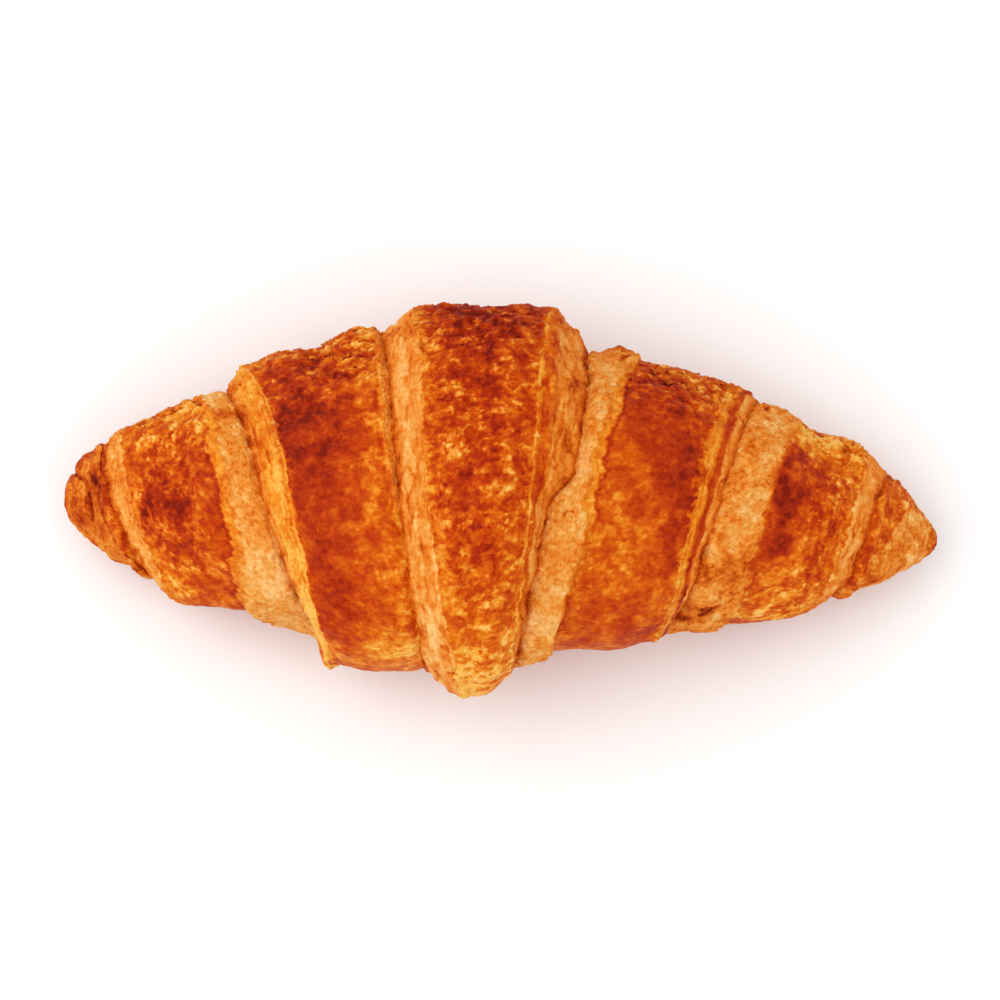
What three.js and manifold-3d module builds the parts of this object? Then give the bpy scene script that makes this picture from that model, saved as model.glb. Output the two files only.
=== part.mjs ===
// A baked butter croissant of the straight kind, as it lies on a table: one solid, in millimetres.
// A triangle of laminated dough is rolled up from its base, so that its tip comes last. The tip is a blunt
// tongue that ends low on the front. From there each edge of the triangle winds round the roll as a helix
// that moves outwards to one end of the croissant. Every turn leaves one raised band, with a rim and a
// layered edge that steps down to the next band, which starts with an unglazed shoulder.
//
// X runs from the left end to the right end, Y from the front to the back, and Z up from the table.
// The winding angle is 0 at the front, 90 at the top, 180 at the back and 270 underneath, and goes on
// counting from turn to turn. The origin is at the middle of the base.
import * as THREE from "three";
import { mergeVertices } from "three/addons/utils/BufferGeometryUtils.js";
import Module from "manifold-3d";

// Driving dimensions, in millimetres and degrees.
const HALF_LENGTH = 80;
const TURN = 360;
const TURNS = 4;

// The tongue ends a little below the front's widest line, and has its full width and thickness soon after.
const TIP_ANGLE = -22;
const TIP_LENGTH = 15;

// The middle line of the outermost band, for each quarter turn from the front.
const MIDDLE = {
  x: [-7.2, -4.4, -3, -4, -7],
  radius: [34.8, 35, 34.8, 32.4, 30.4],
};

// One side of the croissant. Values for each quarter turn: the rim's distance from the middle of the
// length, and the width and depth of the layered edge beyond it. Values for each half turn, so in turn at
// the front and at the back: the rim's radius, the height by which the shoulder stands above the band
// that follows it, and the share of the band's width that the shoulder takes. The tip's share is how much
// of the last rim's radius is left at the end, before it is rounded off.
const LEFT = {
  sign: -1,
  rimX: [7.3, 12.5, 15.6, 21, 28.8, 36.7, 47.6, 53, 58.9, 66.4, 69.8, 71.5, 73.5, 75.6, 77.2, 78.4, 79.2],
  edgeWidth: [5.7, 4.7, 5.7, 5, 3.2, 5, 2.6, 3.5, 4.6, 3.8, 2, 2.4, 2, 1.4, 1, 0.6, 0.4],
  edgeDepth: [5.2, 5, 4.8, 5, 6.6, 4.6, 4.2, 4, 4, 3, 2.2, 2, 2, 1.4, 1, 0.6, 0.4],
  rimRadius: [34.6, 34.8, 29.5, 23.4, 17.8, 11.6, 8.8, 5, 3.2],
  shoulderHeight: [0, 0, 0.8, 0.4, 3, 0.6, 1.2, 0.3, 0],
  shoulderShare: [0.1, 0.1, 0.06, 0.08, 0.42, 0.28, 0.3, 0.3, 0.3],
  tipShare: 0.7,
};
const RIGHT = {
  sign: 1,
  rimX: [1.7, 5.3, 10.3, 17, 26.2, 34.8, 42.6, 49.5, 55.5, 62.7, 68, 69.5, 71.8, 74.4, 76.6, 78, 79.2],
  edgeWidth: [0.6, 6, 5.8, 5, 3.1, 3.8, 4.8, 4.6, 5, 3.4, 3.4, 2.4, 2, 1.4, 1, 0.6, 0.4],
  edgeDepth: [1.4, 5, 7.4, 5, 1.8, 2.6, 1.4, 3, 3.6, 2.6, 2.2, 2, 2, 1.4, 1, 0.6, 0.4],
  rimRadius: [32, 34.6, 23.8, 22.2, 16.8, 11.8, 8.4, 4.8, 3.2],
  shoulderHeight: [0, 0, 3, 0.8, 1.4, 0.6, 1, 0.3, 0],
  shoulderShare: [0.2, 0.2, 0.22, 0.2, 0.42, 0.4, 0.3, 0.3, 0.3],
  tipShare: 0.5,
};

// How far a band swells above a straight line from foot to rim, in the middle and at the ends.
const CROWN = 1.4;
const CROWN_AT_END = 0.5;

// The cross-section: the axis is lower at the ends, and moves a little sideways.
const TOP_RISE = 0.8;
const UNDER_DROP = 0.74;
const AXIS_HEIGHT = 21;
const AXIS_HEIGHT_AT_END = 8;
const SIDEWAYS_AT_LEFT_END = 3.8;
const SIDEWAYS_AT_RIGHT_END = -5;
const END_CAP = 4;

// Slow lumps of the baked crust: their height, waves along half the length, waves round, and phase.
const LUMPS = [
  { height: 0.34, along: 5.3, around: 3, phase: 0.4 },
  { height: 0.3, along: 9.1, around: -5, phase: 1.9 },
  { height: 0.24, along: 14.7, around: 7, phase: 4.1 },
  { height: 0.2, along: 21.3, around: -4, phase: 2.7 },
];

// Knobs, and dents of less than no height: where each lies, how far it reaches along X and round the roll.
const KNOBS = [
  { x: 21.4, angle: 166, reach: 2.8, spread: 13, height: 1.9 },
  { x: 18.5, angle: 172, reach: 4.5, spread: 24, height: -1.5 },
  { x: 14, angle: 175, reach: 2, spread: 18, height: 1.3 },
  { x: 43, angle: 172, reach: 3, spread: 20, height: 0.9 },
  { x: -25, angle: 160, reach: 3.6, spread: 12, height: 1.5 },
  { x: -33, angle: 165, reach: 4, spread: 30, height: -1.4 },
  { x: -44, angle: 0, reach: 7, spread: 28, height: -0.8 },
  { x: 13.5, angle: 0, reach: 6, spread: 30, height: -1.3 },
  { x: 7.5, angle: 2, reach: 2, spread: 20, height: -1.2 },
  { x: 36, angle: 6, reach: 2.4, spread: 12, height: 1.6 },
  { x: 36, angle: 0, reach: 6, spread: 30, height: -1.1 },
  { x: 28.6, angle: 5, reach: 2.4, spread: 18, height: 1.9 },
  { x: -31.6, angle: 352, reach: 2, spread: 14, height: 2.2 },
  { x: -18.4, angle: 178, reach: 1.5, spread: 16, height: -1.2 },
  { x: 57.5, angle: 150, reach: 3, spread: 24, height: -1.6 },
  { x: 66, angle: 145, reach: 4, spread: 22, height: 2.1 },
  { x: -54, angle: 128, reach: 3.2, spread: 16, height: 0.9 },
  { x: -71, angle: 160, reach: 3, spread: 25, height: 0.9 },
  { x: -73.2, angle: 125, reach: 2.4, spread: 30, height: 1.0 },
];

// At the left end the last turn stands above the tip lobe: where it ends, how far it steps down there, for
// each eighth of a turn from the front, and the width of that step.
const LOBE_X = [-71.4, -73.4, -74.2, -77, -77.2, -75.5, -74, -72.4, -71.4];
const LOBE_STEP = [0.6, 0.7, 1.2, 1.5, 1.3, 0.8, 0.6, 0.6, 0.6];
const LOBE_SLOPE = 0.9;

// Where the mesh has its rows, and its columns from one foot or rim to the next.
const ROWS = 56;
const EDGE_COLUMNS = [0, 0.4, 0.6, 1];
const SHOULDER_COLUMN = 0.345;
const BAND_COLUMNS = [0.1, 0.22, 0.31, 0.38, 0.52, 0.7, 0.86, 0.95];
const END_BAND_COLUMNS = [0.15, 0.5, 0.85];
const CAP_COLUMNS = [0.35, 0.7, 0.9];
const EDGE_SHARE_OF_TURN = 0.2;

const radians = (degrees) => (degrees * Math.PI) / 180;
const mix = (a, b, t) => a + (b - a) * t;
const clamp01 = (t) => Math.min(1, Math.max(0, t));
const smooth = (t) => clamp01(t) ** 2 * (3 - 2 * clamp01(t));

// A value from an evenly spaced list, read with a monotone cubic, so that bands never cross.
function fromList(list, at) {
  const i = Math.min(list.length - 2, Math.max(0, Math.floor(at)));
  const slope = (k) => {
    if (k <= 0 || k >= list.length - 1) return 0;
    const before = list[k] - list[k - 1];
    const after = list[k + 1] - list[k];
    return before * after <= 0 ? 0 : (2 * before * after) / (before + after);
  };
  const t = clamp01(at - i);
  const rise = list[i + 1] - list[i];
  const [start, end] = [slope(i), slope(i + 1)];
  return list[i] + t * (start + t * (3 * rise - 2 * start - end + t * (start + end - 2 * rise)));
}
const perQuarter = (list, winding) => fromList(list, winding / 90);
const perHalf = (list, winding) => fromList(list, winding / 180);

// How far the tongue has formed, from 0 at its end to 1 where it has its full width.
const tongue = (winding) => {
  const t = clamp01((winding - TIP_ANGLE) / TIP_LENGTH);
  return Math.sqrt(1 - (1 - t) ** 2);
};

// The tip is one point, which the middle line leaves and, a turn later, comes back to underneath.
const tip = {
  x: perQuarter(MIDDLE.x, TIP_ANGLE + TURN),
  radius: perQuarter(MIDDLE.radius, TIP_ANGLE + TURN),
};
const middle = (winding) => ({
  x: mix(tip.x, perQuarter(MIDDLE.x, winding), tongue(winding)),
  radius: mix(tip.radius, perQuarter(MIDDLE.radius, winding), tongue(winding)),
});
const rim = (side, winding) => ({
  x: mix(tip.x, side.sign * perQuarter(side.rimX, winding), tongue(winding)),
  radius: mix(tip.radius, perHalf(side.rimRadius, winding), tongue(winding)),
});

// The foot of the layered edge: the crevice where the next band comes out from under it.
function foot(side, winding) {
  const { x, radius } = rim(side, winding);
  const width = perQuarter(side.edgeWidth, winding) * tongue(winding);
  const depth = perQuarter(side.edgeDepth, winding) * tongue(winding);
  return { x: x + side.sign * width, radius: radius - depth };
}

// The layered edge steps down in two ledges.
function edgePoint(side, winding, t) {
  const from = rim(side, winding);
  const to = foot(side, winding);
  const down = t < 0.5 ? 0.5 * (2 * t) ** 1.8 : 1 - 0.5 * (2 - 2 * t) ** 0.55;
  return { x: mix(from.x, to.x, t), radius: mix(from.radius, to.radius, down) };
}

// The outermost band runs from the middle line to its rim.
function tonguePoint(side, winding, t) {
  const from = middle(winding);
  const to = rim(side, winding);
  return { x: mix(from.x, to.x, t), radius: mix(from.radius, to.radius, t ** 2) };
}

// Any further band runs from the foot of the turn inside it, over its shoulder, to its own rim.
function bandPoint(side, winding, t) {
  const from = foot(side, winding - TURN);
  const to = rim(side, winding);
  const share = perHalf(side.shoulderShare, winding);
  const onShoulder = t < SHOULDER_COLUMN;
  const beyond = (t - SHOULDER_COLUMN) / (1 - SHOULDER_COLUMN);
  const along = onShoulder ? (t * share) / SHOULDER_COLUMN : mix(share, 1, beyond);
  const swell = mix(CROWN, CROWN_AT_END, Math.abs(to.x) / HALF_LENGTH) * (1 - (2 * along - 1) ** 4);
  const lift = perHalf(side.shoulderHeight, winding) * 0.5 * tongue(winding - TURN);
  const saw = onShoulder ? t / SHOULDER_COLUMN : beyond - 1;
  return {
    x: mix(from.x, to.x, along),
    radius: mix(from.radius, to.radius, along ** 1.25) + swell + lift * saw,
  };
}

// From the last rim to the pole at the end.
function capPoint(side, winding, t) {
  const { x, radius } = rim(side, winding);
  return { x: mix(x, side.sign * HALF_LENGTH, t), radius: radius * mix(1, side.tipShare, t) };
}

// The height of the lumps, knobs and the lobe's step at a place on the crust.
function relief(x, winding) {
  const angle = radians(winding);
  const lump = ({ height, along, around, phase }) =>
    height * Math.sin((along * x) / HALF_LENGTH + around * angle + phase);
  const knob = ({ x: at, angle: round, reach, spread, height }) => {
    const away = Math.abs(((winding - round + 540) % TURN) - 180);
    return height * Math.exp(-(((x - at) / reach) ** 2) - (away / spread) ** 2);
  };
  const sum = (list, heightOf) => list.reduce((total, item) => total + heightOf(item), 0);
  const eighth = (winding - TURN * Math.floor(winding / TURN)) / 45;
  const beyond = (fromList(LOBE_X, eighth) - x) / LOBE_SLOPE;
  return sum(LUMPS, lump) + sum(KNOBS, knob) - fromList(LOBE_STEP, eighth) * smooth(beyond + 0.5);
}

// A point of the crust in space, from its place along the length, its radius and its angle.
function place({ x, radius }, winding) {
  const angle = radians(winding);
  const along = Math.abs(x) / HALF_LENGTH;
  const intoCap = clamp01((Math.abs(x) - HALF_LENGTH + END_CAP) / END_CAP);
  const r = (radius + relief(x, winding) * Math.min(1, radius / 16)) * Math.sqrt(1 - intoCap ** 2);
  const sideways = (x < 0 ? SIDEWAYS_AT_LEFT_END : SIDEWAYS_AT_RIGHT_END) * along ** 2.2;
  const height = mix(AXIS_HEIGHT, AXIS_HEIGHT_AT_END, along ** 1.6);
  const rise = Math.sin(angle) > 0 ? TOP_RISE : UNDER_DROP;
  return [x, sideways - r * Math.cos(angle), height + r * rise * Math.sin(angle)];
}

// One row of the mesh at one angle, as points from the middle line outwards. A key is a turn and a place
// within it, so that like keys on the next row continue the same line of the crust.
function rowOf(side, angle) {
  const row = [];
  const add = (key, point, winding) => row.push({ key, at: place(point, winding) });
  const bandKey = (turn, t) => turn + mix(EDGE_SHARE_OF_TURN, 1, t) - 1;
  add(-1, middle(angle), angle);
  for (const t of BAND_COLUMNS) add(bandKey(0, t), tonguePoint(side, angle, t), angle);
  for (let turn = 1; turn < TURNS; turn++) {
    const winding = angle + TURN * turn;
    const columns = turn === TURNS - 1 ? END_BAND_COLUMNS : BAND_COLUMNS;
    for (const t of EDGE_COLUMNS)
      add(turn - 1 + EDGE_SHARE_OF_TURN * t, edgePoint(side, winding - TURN, t), winding);
    for (const t of columns) add(bandKey(turn, t), bandPoint(side, winding, t), winding);
  }
  const last = angle + TURN * (TURNS - 1);
  for (const t of CAP_COLUMNS) add(TURNS - 1 + t, capPoint(side, last, t), last);
  add(TURNS, { x: side.sign * HALF_LENGTH, radius: 0 }, last);
  return row;
}

// Triangles between two rows, always on to whichever row's next point has the smaller key.
function zip(a, b, emit) {
  let [i, j] = [0, 0];
  while (i < a.length - 1 || j < b.length - 1) {
    const onA = j === b.length - 1 || (i < a.length - 1 && a[i + 1].key <= b[j + 1].key);
    emit(a[i].at, onA ? a[i + 1].at : b[j + 1].at, b[j].at);
    if (onA) i++;
    else j++;
  }
}

// The crust of one side: rows all round, and then the first row again, counted one turn further in.
function crustOf(side) {
  const triangles = [];
  const rows = [];
  for (let i = 0; i < ROWS; i++) rows.push(rowOf(side, TIP_ANGLE + (TURN * i) / ROWS));
  const [start, ...others] = rows[0];
  const again = others
    .filter(({ key }) => key >= EDGE_SHARE_OF_TURN)
    .map(({ key, at }) => ({ key: key - 1, at }));
  again[again.length - 1].key = TURNS;
  rows.push([start, ...again]);
  const emit = (p, q, r) => triangles.push(side.sign < 0 ? [p, r, q] : [p, q, r]);
  for (let i = 0; i < ROWS; i++) zip(rows[i], rows[i + 1], emit);
  return triangles;
}

const wasm = await Module();
wasm.setup();

// A closed geometry, its vertices shared and its empty triangles dropped, as a solid.
function solidFrom(geometry) {
  const plain = new THREE.BufferGeometry().setAttribute("position", geometry.getAttribute("position"));
  if (geometry.index) plain.setIndex(geometry.index);
  const merged = mergeVertices(plain, 1e-3);
  const kept = [];
  for (let i = 0; i < merged.index.count; i += 3) {
    const [a, b, c] = [0, 1, 2].map((k) => merged.index.getX(i + k));
    if (a !== b && b !== c && c !== a) kept.push(a, b, c);
  }
  const mesh = new wasm.Mesh({
    numProp: 3,
    vertProperties: new Float32Array(merged.getAttribute("position").array),
    triVerts: new Uint32Array(kept),
  });
  return new wasm.Manifold(mesh);
}

function geometryFrom(solid) {
  const mesh = solid.getMesh();
  const positions = new Float32Array(mesh.numVert * 3);
  for (let i = 0; i < mesh.numVert; i++)
    positions.set(mesh.vertProperties.subarray(i * mesh.numProp, i * mesh.numProp + 3), i * 3);
  return new THREE.BufferGeometry()
    .setAttribute("position", new THREE.BufferAttribute(positions, 3))
    .setIndex(new THREE.BufferAttribute(new Uint32Array(mesh.triVerts), 1));
}

const crust = new THREE.BufferGeometry();
const corners = [...crustOf(LEFT), ...crustOf(RIGHT)].flat(2);
crust.setAttribute("position", new THREE.BufferAttribute(new Float32Array(corners), 3));

// What would hang below the table is cut off, which leaves the flat patch that the croissant baked on.
const BELOW = 40;
const table = new THREE.BoxGeometry(4 * HALF_LENGTH, 4 * HALF_LENGTH, BELOW).translate(0, 0, -BELOW / 2);
const roll = geometryFrom(solidFrom(crust).subtract(solidFrom(table)));

roll.computeBoundingBox();
const centre = roll.boundingBox.getCenter(new THREE.Vector3());
roll.translate(-centre.x, -centre.y, 0);
roll.computeVertexNormals();

const croissant = new THREE.Mesh(
  roll,
  new THREE.MeshStandardMaterial({ color: 0xc8641c, roughness: 0.55, metalness: 0 }),
);
croissant.name = "croissant";

const part = new THREE.Group();
part.add(croissant);

export default part;
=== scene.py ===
# A baked butter croissant on a pale table, in metres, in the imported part's frame.
#
# The croissant is a triangle of laminated dough rolled from its base to its tip. Each band of the crust is
# one closed shell, wound round the roll as a helix: an unglazed shoulder, the glazed crust, a rim, and a
# layered edge that steps down into the crevice where the next band comes out.
import math
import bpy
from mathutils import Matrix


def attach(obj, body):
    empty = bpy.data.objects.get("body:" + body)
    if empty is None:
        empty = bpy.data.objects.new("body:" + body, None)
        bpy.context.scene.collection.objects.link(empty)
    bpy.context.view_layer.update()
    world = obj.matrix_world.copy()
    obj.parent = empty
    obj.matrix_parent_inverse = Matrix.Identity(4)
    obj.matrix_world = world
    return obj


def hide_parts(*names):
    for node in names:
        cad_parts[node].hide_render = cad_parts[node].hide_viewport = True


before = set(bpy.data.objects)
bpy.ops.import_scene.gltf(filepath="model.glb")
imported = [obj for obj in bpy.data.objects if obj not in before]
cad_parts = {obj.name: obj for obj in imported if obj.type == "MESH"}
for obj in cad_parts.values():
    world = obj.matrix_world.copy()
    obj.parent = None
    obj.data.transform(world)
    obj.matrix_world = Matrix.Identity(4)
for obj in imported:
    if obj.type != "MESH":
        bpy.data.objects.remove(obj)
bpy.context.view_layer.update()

from types import SimpleNamespace

import bpy
import numpy as np
from mathutils import Vector

MM = 0.001

# The photo's view: almost straight down, through a long lens.
VIEW_ELEVATION = math.radians(80)
VIEW_DISTANCE = 0.5
VIEW_TARGET = Vector((0.0, 0.0, 0.022))
SENSOR_WIDTH = 36.0
PICTURE_WIDTH = 0.1786


def make_camera():
    data = bpy.data.cameras.new("camera")
    data.sensor_width = SENSOR_WIDTH
    data.lens = SENSOR_WIDTH * VIEW_DISTANCE / PICTURE_WIDTH
    data.clip_start = 0.01
    data.clip_end = 10.0
    camera = bpy.data.objects.new("camera", data)
    away = Vector((0.0, -math.cos(VIEW_ELEVATION), math.sin(VIEW_ELEVATION)))
    camera.location = VIEW_TARGET + VIEW_DISTANCE * away
    camera.rotation_mode = "QUATERNION"
    camera.rotation_quaternion = (-away).to_track_quat("-Z", "Y")
    bpy.context.scene.collection.objects.link(camera)
    bpy.context.scene.camera = camera


make_camera()

# The shape of the roll, in millimetres and degrees. The winding angle is 0 at the front, 90 at the top and
# 180 at the back, and goes on counting from turn to turn.
HALF_LENGTH = 80.0
TURN = 360.0
TIP_ANGLE = -22.0
TIP_LENGTH = 15.0
UNDERNEATH = 270.0

MIDDLE_X = [-5.2, -4.4, -3, -4, -8.4]
MIDDLE_RADIUS = [34.3, 35, 34.8, 32.4, 30.4]

LEFT = {
    "sign": -1,
    "rim_x": [
        7.3, 12.5, 15.6, 21, 28.8, 36.7, 47.6, 53, 58.9, 66.4, 69.8, 71.5, 73.5, 75.6, 77.2, 78.4, 79.2,
    ],
    "edge_width": [5.7, 4.7, 5.7, 5, 3.2, 5, 2.6, 3.5, 4.6, 3.8, 2, 2.4, 2, 1.4, 1, 0.6, 0.4],
    "edge_depth": [3.8, 5, 4.8, 5, 6.6, 4.6, 4.2, 4, 4, 3, 2.2, 2, 2, 1.4, 1, 0.6, 0.4],
    "rim_radius": [34.5, 34.8, 29.5, 23.4, 17.8, 11.6, 8.8, 5, 3.2],
    "tip_share": 0.7,
    "shoulder_height": [0, 0, 0, 0, 0.8, 0.3, 0.3, 1.4, 3, 0.8, 0.5, 0.8, 1.2, 0.6, 0.3, 0.1, 0],
}
RIGHT = {
    "sign": 1,
    "rim_x": [1.7, 5.3, 10.3, 17, 26.2, 34.8, 42.6, 49.5, 55.5, 62.7, 68, 69.5, 71.8, 74.4, 76.6, 78, 79.2],
    "edge_width": [0.6, 3.3, 5.6, 5, 3.1, 3.8, 4.8, 4.6, 5, 3.4, 3.4, 2.4, 2, 1.4, 1, 0.6, 0.4],
    "edge_depth": [1.4, 5, 7.4, 5, 1.8, 2.6, 1.4, 3, 3.6, 2.6, 2.2, 2, 2, 1.4, 1, 0.6, 0.4],
    "rim_radius": [30.8, 34.6, 23.8, 22.2, 16.8, 11.8, 7.9, 4.3, 2.6],
    "tip_share": 0.5,
    "shoulder_height": [0, 0, 0, 0.8, 3, 0.7, 0.7, 1, 1.4, 0.6, 0.6, 0.8, 1, 0.6, 0.3, 0.1, 0],
}

# The share of a band's width that its unglazed shoulder takes: angles, counted on from turn to turn, and
# shares there.
SHOULDER_SHARES = {
    "left": (
        [270, 400, 430, 451, 469, 554, 630, 735, 757, 776, 788, 806, 822, 850, 900, 990],
        [0.1, 0.03, 0.03, 0.1, 0.12, 0.07, 0.3, 0.42, 0.38, 0.31, 0.285, 0.27, 0.265, 0.265, 0.3, 0.3],
    ),
    "right": (
        [270, 391, 412, 425, 436, 448, 459, 467, 474, 485, 494, 504,
         516, 532, 580, 630, 720, 782, 796, 827, 852, 900, 990],
        [0.2, 0.24, 0.26, 0.3, 0.3, 0.2, 0.165, 0.18, 0.205, 0.225, 0.25, 0.32,
         0.38, 0.37, 0.3, 0.3, 0.42, 0.39, 0.37, 0.38, 0.42, 0.4, 0.3],
    ),
}

CROWN = 1.4
CROWN_AT_END = 0.5
TOP_RISE = 0.8
UNDER_DROP = 0.74
AXIS_HEIGHT = 21.0
AXIS_HEIGHT_AT_END = 8.0
SIDEWAYS_AT_LEFT_END = 3.8
SIDEWAYS_AT_RIGHT_END = -5.0
SIDEWAYS_BEND = 2.2
HEIGHT_BEND = 1.6
END_CAP = 4.0

# Where the roll is thinner than this radius, its relief and its crevices are lower.
FULL_RADIUS = 16.0

# Height, waves along half the length, waves round, and phase.
LUMPS = [(0.34, 5.3, 3, 0.4), (0.3, 9.1, -5, 1.9), (0.24, 14.7, 7, 4.1), (0.2, 21.3, -4, 2.7)]

# Knobs, and dents of less than no height: place along X, angle, reach along X, spread round the roll in
# degrees, and height.
KNOBS = [
    (21.4, 166, 2.8, 13, 1.9),
    (18.5, 172, 4.5, 24, -1.5),
    (14, 175, 2, 18, 1.3),
    (43, 172, 3, 20, 0.9),
    (-25, 160, 3.6, 12, 1.5),
    (-33, 165, 4, 30, -1.4),
    (-39, 0, 4.5, 26, -1.1),
    (-49, 0, 4.5, 26, -0.6),
    (-60, 0, 5, 26, 0.9),
    (-72, 5, 3, 26, 1.6),
    (-16, 0, 3.6, 16, -0.7),
    (-53, 175, 4.5, 24, -0.8),
    (13.5, 0, 6, 30, -1.3),
    (6.6, 2, 2.6, 20, -1.9),
    (36, 6, 2.4, 12, 1.6),
    (36, 0, 6, 30, -1.1),
    (28.6, 5, 2.4, 18, 1.9),
    (-31.6, 352, 2, 16, 2.7),
    (-18, 178, 2.2, 16, -1.6),
    (57.5, 150, 3, 24, -1.6),
    (54, 172, 8, 26, -1.0),
    (66, 145, 4, 22, 2.1),
    (78, 0, 2.4, 60, -4),
    (78, 180, 2.4, 60, 3.5),
    (-54, 128, 3.2, 16, 0.9),
    (-71, 160, 3, 25, 0.9),
    (-73.2, 125, 2.4, 30, 1.0),
    (-77.2, 160, 1.8, 34, 3.4),
    (-73.2, 98, 1.0, 10, -0.8),
]

# At the left end the roll's last turn stands above the tip lobe: where it ends, and its step, for each
# eighth of a turn from the front.
LOBE_X = [71.4, 73.4, 74.2, 77.5, 77.8, 75.5, 74, 72.4, 71.4]
LOBE_STEP = [0.6, 0.7, 1.2, 1.5, 1.3, 0.8, 0.6, 0.6, 0.6]
LOBE_SLOPE = 0.9
LOBE_CREVICE = 0.8
LOBE_CREVICE_WIDTH = 0.45


def mix(a, b, t):
    return a + (b - a) * t


def smooth(t):
    t = np.clip(t, 0, 1)
    return t * t * (3 - 2 * t)


def bump(t):
    """1 at 0, falling smoothly to nothing at about 2 either way."""
    return np.exp(-(t * t))


def from_list(values, at):
    """Values from an evenly spaced list, read with a monotone cubic, so that bands never cross."""
    values = np.asarray(values, float)
    rises = np.diff(values)
    slopes = np.zeros(len(values))
    before, after = rises[:-1], rises[1:]
    turning = before * after <= 0
    slopes[1:-1] = np.where(turning, 0, 2 * before * after / np.where(turning, 1, before + after))
    at = np.asarray(at, float)
    i = np.clip(np.floor(at).astype(int), 0, len(values) - 2)
    t = np.clip(at - i, 0, 1)
    start, end, rise = slopes[i], slopes[i + 1], rises[i]
    return values[i] + t * (start + t * (3 * rise - 2 * start - end + t * (start + end - 2 * rise)))


def per_quarter(values, winding):
    return from_list(values, winding / 90)


def per_half(values, winding):
    return from_list(values, winding / 180)


def per_eighth(values, winding):
    """Values for each eighth of a turn, the same on every turn."""
    return from_list(values, (np.asarray(winding) % TURN) / 45)


def angle_from(turn, winding):
    """How far a winding angle lies from a place round the roll, from -180 to 180 degrees."""
    return (winding - turn + 1.5 * TURN) % TURN - 0.5 * TURN


# Smooth noise from a seeded lattice of gradients, about -1 to 1, at points given in noise cells.
def make_noise(seed):
    draw = np.random.default_rng(seed)
    order = np.tile(draw.permutation(256), 3).astype(np.int32)
    gradients = draw.normal(size=(256, 3)).astype(np.float32)
    gradients /= np.linalg.norm(gradients, axis=1)[:, None]

    def noise(x, y, z):
        cells = [np.floor(c).astype(np.int32) for c in (x, y, z)]
        parts = [(c - f).astype(np.float32) for c, f in zip((x, y, z), cells)]
        fades = [p * p * p * (p * (p * 6 - 15) + 10) for p in parts]
        total = 0
        for corner in range(8):
            steps = [(corner >> axis) & 1 for axis in range(3)]
            hashed = 0
            weight = 1
            for axis in range(3):
                hashed = order[(hashed + cells[axis] + steps[axis]) & 255]
                weight = weight * (fades[axis] if steps[axis] else 1 - fades[axis])
            g = gradients[hashed]
            dot = sum(g[..., axis] * (parts[axis] - steps[axis]) for axis in range(3))
            total = total + weight * dot
        return total * 1.6

    return noise


NOISE = [make_noise(seed) for seed in range(1, 13)]


def fbm(points, size, which, octaves=3, gain=0.5, stretch=(1, 1, 1)):
    """Noise with its largest features about size across, in millimetres, stretched along each axis."""
    x, y, z = (points[..., axis] / (size * stretch[axis]) for axis in range(3))
    total = 0
    strength = 1
    for octave in range(octaves):
        total = total + strength * NOISE[(which + octave) % len(NOISE)](x, y, z)
        x, y, z = 2.03 * x + 7.1, 2.03 * y + 3.7, 2.03 * z + 5.3
        strength *= gain
    return total


def along(winding, size, which):
    """Noise that runs along the winding only, with features about size in degrees."""
    w = np.asarray(winding, float) / size
    return NOISE[which](w, np.full_like(w, 0.37), np.full_like(w, 0.61))


def tongue(winding):
    """How far the tongue has formed, from 0 at its end to 1 where it has its full width."""
    t = np.clip((winding - TIP_ANGLE) / TIP_LENGTH, 0, 1)
    return np.sqrt(1 - (1 - t) ** 2)


TIP_X = float(per_quarter(MIDDLE_X, TIP_ANGLE + TURN))
TIP_RADIUS = float(per_quarter(MIDDLE_RADIUS, TIP_ANGLE + TURN))


def middle(winding):
    formed = tongue(winding)
    x = mix(TIP_X, per_quarter(MIDDLE_X, winding), formed)
    return x, mix(TIP_RADIUS, per_quarter(MIDDLE_RADIUS, winding), formed)


# The rims are torn and uneven: a slow wander and a finer fray, in millimetres, with the lengths of their
# features in degrees. Both fade out at the tongue's end and over the last turn.
RIM_WANDER = 0.5
WANDER_SIZE = 17
RIM_FRAY = 0.3
FRAY_SIZE = 4
TIP_FADE = 60
LAST_FADE = 300
EVEN_FROM = 1290


def rim(side, winding):
    formed = tongue(winding)
    wander = RIM_WANDER * along(winding * side["sign"] + 900, WANDER_SIZE, 4)
    wander = wander + RIM_FRAY * along(winding + 50, FRAY_SIZE, 5)
    uneven = smooth((winding - TIP_ANGLE) / TIP_FADE) * smooth((EVEN_FROM - winding) / LAST_FADE)
    x = side["sign"] * (per_quarter(side["rim_x"], winding) + wander * uneven)
    return mix(TIP_X, x, formed), mix(TIP_RADIUS, per_half(side["rim_radius"], winding), formed)


# On the right of the tongue's band one more sheet of the edge shows behind the top, and folds in there.
FOLD_ANGLE = 79
FOLD_RUN = 15
FOLD_WIDTH = 3.4
FOLD_END = 175
FOLD_FADE = 60


def edge_size(side, winding):
    formed = tongue(winding)
    width = per_quarter(side["edge_width"], winding)
    if side is RIGHT:
        folded = smooth((winding - FOLD_ANGLE) / FOLD_RUN) * smooth((FOLD_END - winding) / FOLD_FADE)
        width = width + FOLD_WIDTH * folded
    return width * formed, per_quarter(side["edge_depth"], winding) * formed


def foot(side, winding):
    x, radius = rim(side, winding)
    width, depth = edge_size(side, winding)
    return x + side["sign"] * width, radius - depth


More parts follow.
